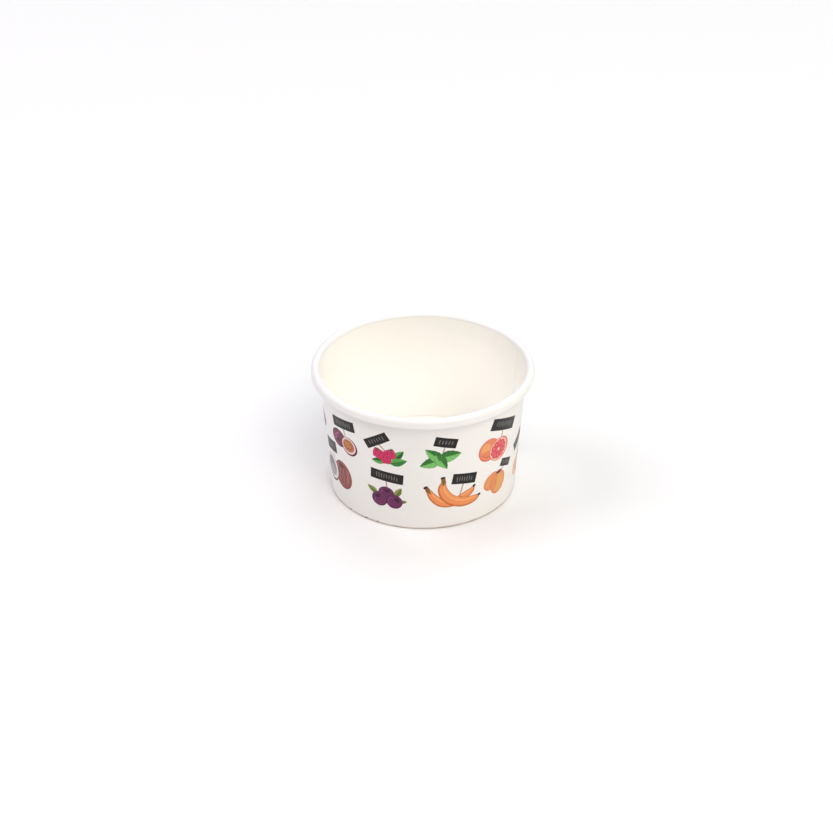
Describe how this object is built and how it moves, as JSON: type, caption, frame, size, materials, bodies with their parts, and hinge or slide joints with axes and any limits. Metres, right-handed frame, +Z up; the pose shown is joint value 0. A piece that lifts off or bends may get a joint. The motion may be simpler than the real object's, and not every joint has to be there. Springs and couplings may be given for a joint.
{
  "type": "paper dessert cup",
  "caption": "Round paper dessert cup: a tapered, fruit-printed board wall with a lapped side seam, rolled rim and folded foot, and a recessed board floor.",
  "frame": {"origin": "middle of the foot, on the surface that the cup stands on", "axes": "+Z up along the cup's axis, through the middle of the mouth; the side seam faces 20 degrees about +Z from +X"},
  "size_m": [0.088, 0.088, 0.0534],
  "materials": {
    "wall_board": "coated, printed outside",
    "floor_board": "coated"
  },
  "bodies": {
    "root": {"cup_wall": "wall_board", "cup_floor": "floor_board"}
  },
  "joints": []
}
